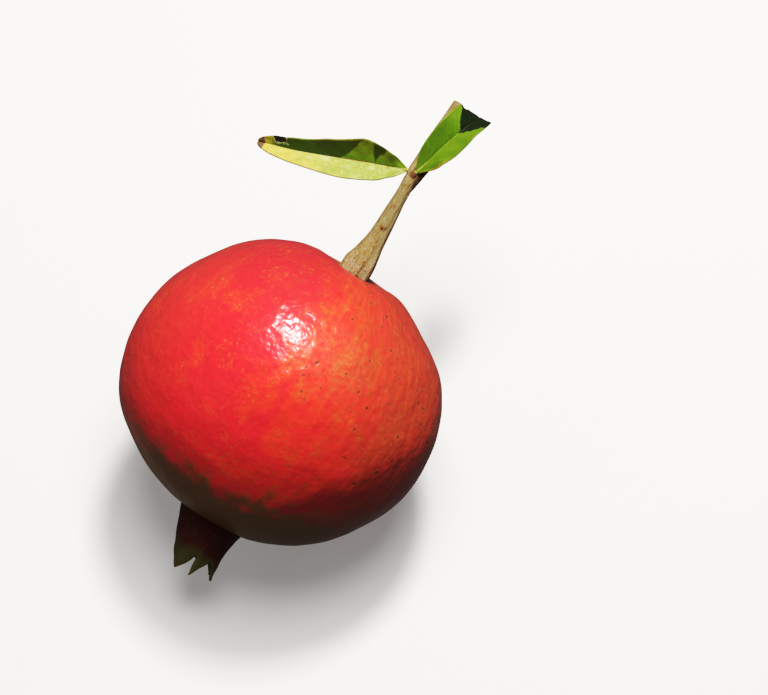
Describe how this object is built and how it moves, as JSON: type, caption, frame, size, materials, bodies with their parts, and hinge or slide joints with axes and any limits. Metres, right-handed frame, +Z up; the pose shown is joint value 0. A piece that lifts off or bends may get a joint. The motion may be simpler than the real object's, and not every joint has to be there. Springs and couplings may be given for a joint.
{
  "type": "pomegranate fruit",
  "caption": "Ripe red pomegranate as picked, lying tilted on a small flat spot, with its crown of sepals, dried stamens and cut twig with leaves",
  "frame": {"origin": "Middle of the footprint on the surface that the fruit lies on, z = 0 at the flat rest spot", "axes": "+Z up; the core lies in the XZ plane with the twig end towards +X and tilted up; +Y across"},
  "size_m": [0.1284, 0.0796, 0.0781],
  "materials": {
    "rind": "gloss",
    "sepals": "satin",
    "stamens": "matte",
    "bark": "matte",
    "leaf_yellowing": "satin",
    "leaf_green": "satin"
  },
  "bodies": {
    "root": {"fruit": "rind", "calyx": "sepals", "stamens": "stamens", "stem": "bark", "leaf_left": "leaf_yellowing", "leaf_right": "leaf_green"}
  },
  "joints": []
}
